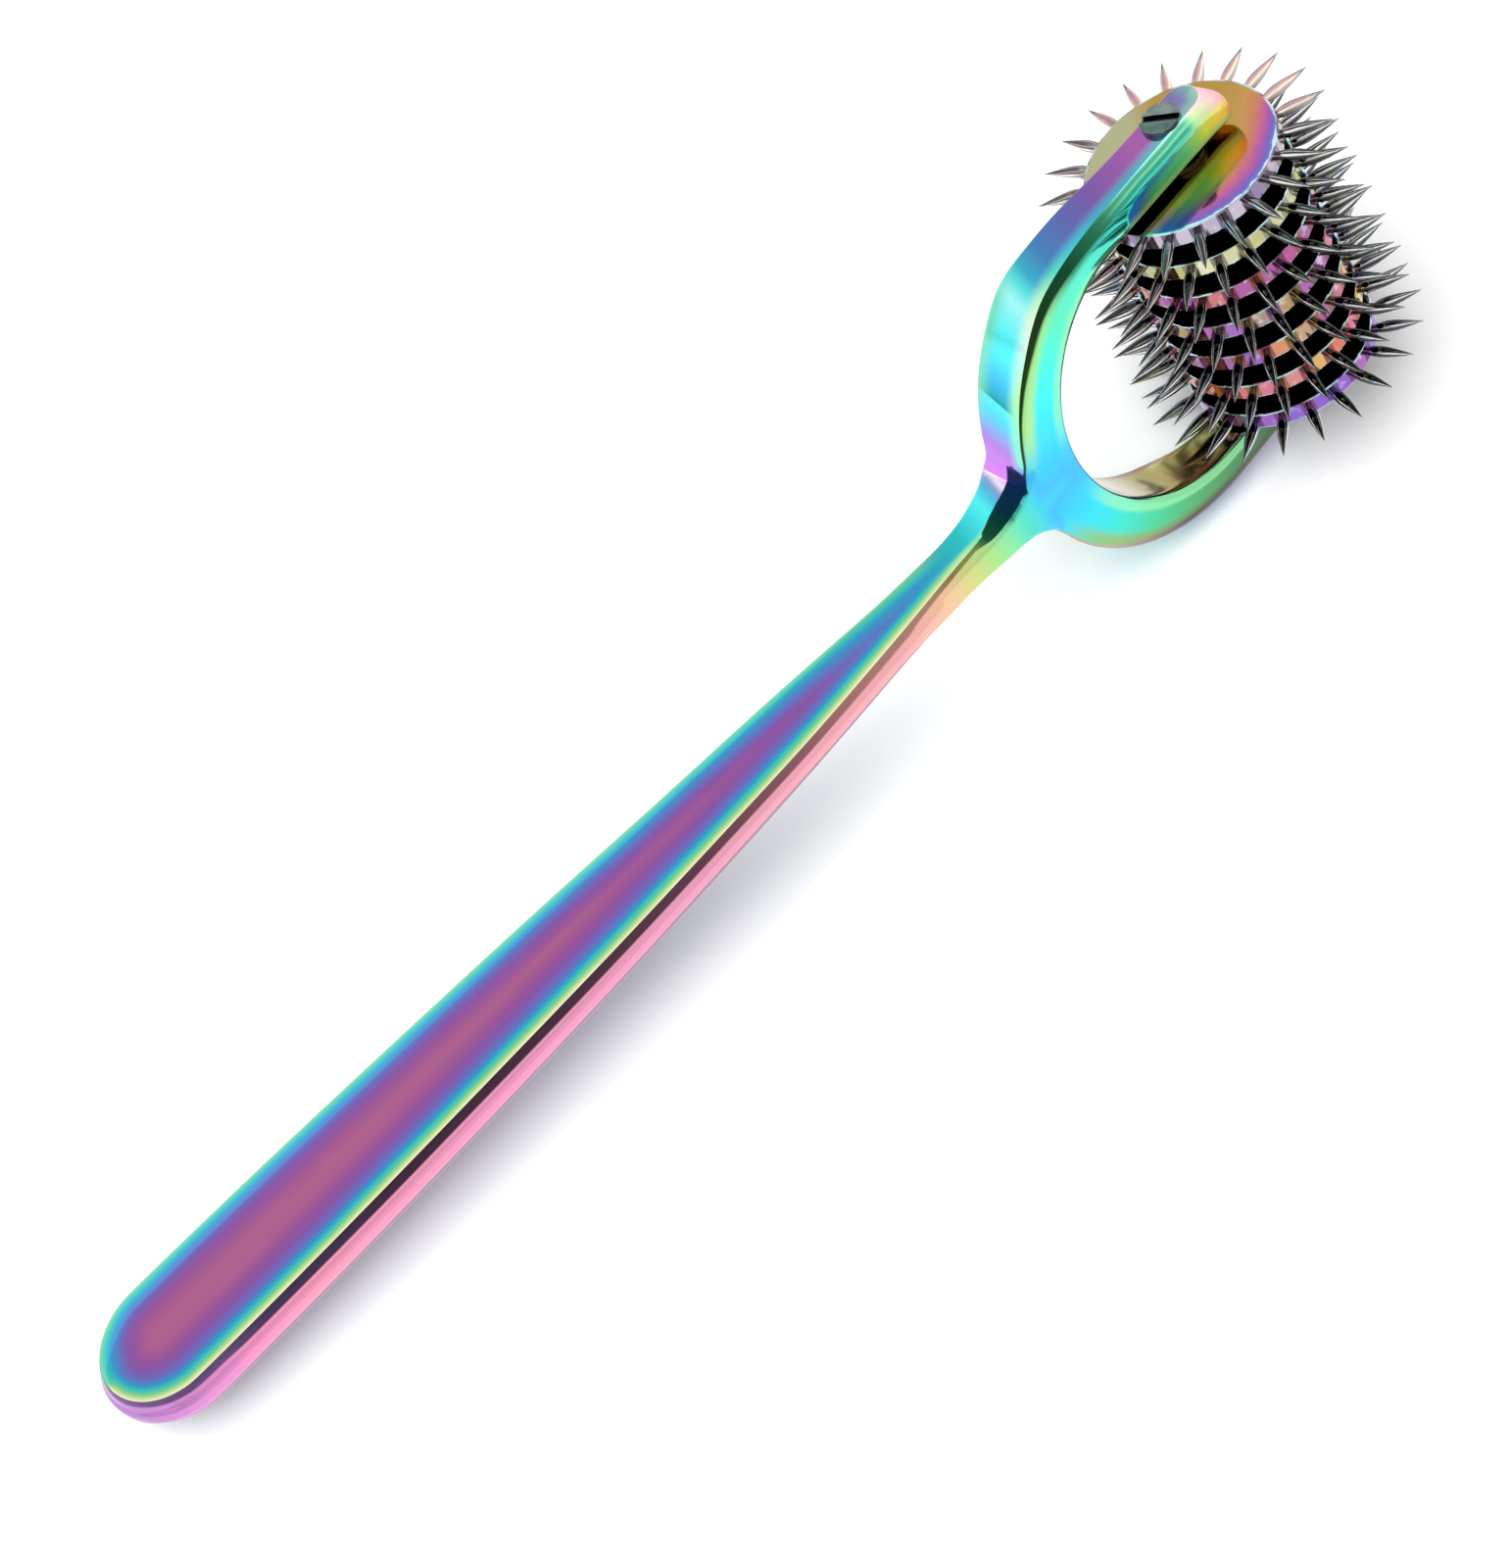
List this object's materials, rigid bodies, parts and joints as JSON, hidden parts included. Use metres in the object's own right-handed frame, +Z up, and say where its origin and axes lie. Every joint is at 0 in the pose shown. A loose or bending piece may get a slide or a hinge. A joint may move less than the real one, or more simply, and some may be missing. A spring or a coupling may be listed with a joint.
{
  "type": "neurological pinwheel",
  "caption": "Hand-held sensory test wheel: a flat tapering handle with a round fork, and in the fork a freely turning drum of needle-pinned wheels on a slotted screw.",
  "frame": {"origin": "on the table, under the middle of the box of the instrument as it lies at rest on its handle's end, its lower tine and one needle", "axes": "+X from the handle's end towards the drum, along the length; +Z up from the table"},
  "size_m": [0.1903, 0.0444, 0.0432],
  "materials": {
    "coated_frame": "mirror-polished steel with a multicoloured interference coating",
    "coated_wheel": "polished steel with a multicoloured interference coating",
    "needle": "polished, smoky dark",
    "spacer": "dark, satin",
    "sleeve": "satin",
    "screw": "polished gunmetal grey"
  },
  "bodies": {
    "holder": {"fork_handle": "coated_frame", "axle_screw": "screw"},
    "drum": {"drum_sleeve": "sleeve", "wheel_1": "coated_wheel", "wheel_2": "coated_wheel", "wheel_3": "coated_wheel", "wheel_4": "coated_wheel", "wheel_5": "coated_wheel", "wheel_6": "coated_wheel", "wheel_7": "coated_wheel", "pins_1": "needle", "pins_2": "needle", "pins_3": "needle", "pins_4": "needle", "pins_5": "needle", "pins_6": "needle", "pins_7": "needle", "spacer_1": "spacer", "spacer_2": "spacer", "spacer_3": "spacer", "spacer_4": "spacer", "spacer_5": "spacer", "spacer_6": "spacer"}
  },
  "joints": [
    {"name": "drum_spin", "type": "hinge", "parent": "holder", "child": "drum", "pos_m": [0.07763, 0.00006, 0.02157], "axis": [-0.0502, 0.4755, 0.8783], "continuous": true}
  ]
}
